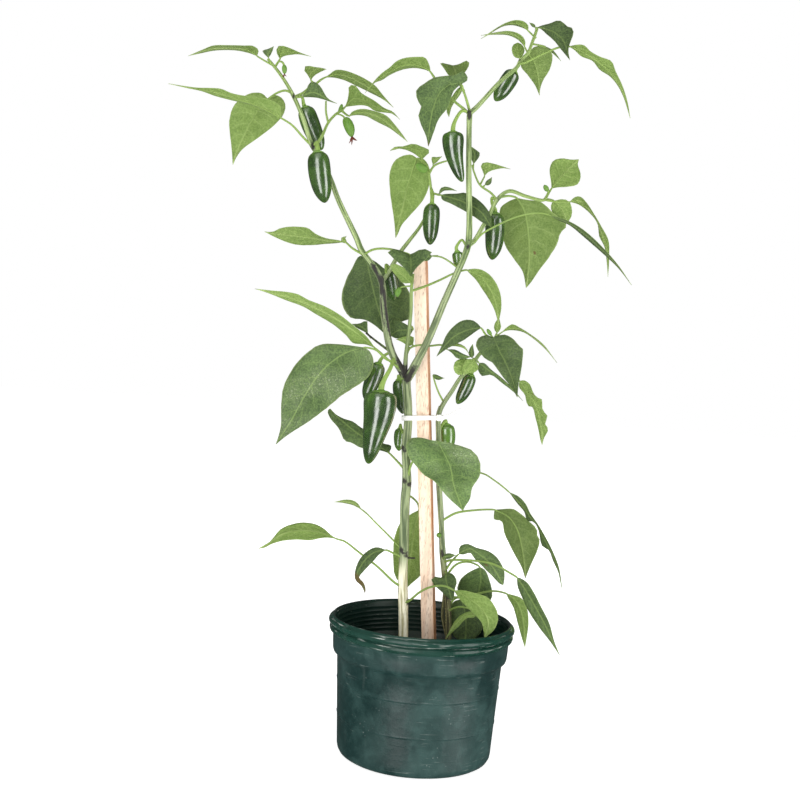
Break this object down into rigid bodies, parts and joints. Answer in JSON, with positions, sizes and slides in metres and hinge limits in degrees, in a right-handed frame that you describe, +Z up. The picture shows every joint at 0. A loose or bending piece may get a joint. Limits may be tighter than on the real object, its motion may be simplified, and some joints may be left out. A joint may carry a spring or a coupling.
{
  "type": "potted chilli pepper plant",
  "caption": "Potted chilli pepper plant with leafy branches and hanging green pods, tied to a square wooden stake in a round plastic nursery pot.",
  "frame": {"origin": "centre of the pot's flat underside", "axes": "+Z up, +X to the right of the plant's front, +Y to its back"},
  "size_m": [0.455, 0.186, 0.7319],
  "materials": {
    "pot": "dark green moulded plastic, scuffed and dusty",
    "soil": "dark crumbly potting soil",
    "stake": "bare sawn softwood",
    "tie": "white nylon",
    "stem": "green stem, tan at the foot, purple-black at the nodes",
    "leaf": "satin leaf, veined, paler underneath",
    "pod": "glossy dark green pod skin"
  },
  "bodies": {
    "root": {"pot": "pot", "soil": "soil", "stake": "stake", "cable_tie": "tie", "main_stem": "stem", "second_stem": "stem", "left_branch": "leaf", "centre_twig": "leaf", "centre_shoot": "leaf", "right_branch": "leaf", "right_side_branch": "leaf", "second_shoot": "leaf", "pod_upper_left_rear": "pod", "pod_upper_left_front": "pod", "pod_fork_large": "pod", "pod_fork_rear": "pod", "pod_fork_dark": "pod", "pod_tie_left": "pod", "pod_tie_right": "pod", "pod_second_shoot": "pod", "pod_right_side": "pod", "pod_centre_twig": "pod", "pod_right_tall": "pod", "pod_top_right": "pod", "pod_right_small": "pod", "pod_left_small": "pod"}
  },
  "joints": []
}
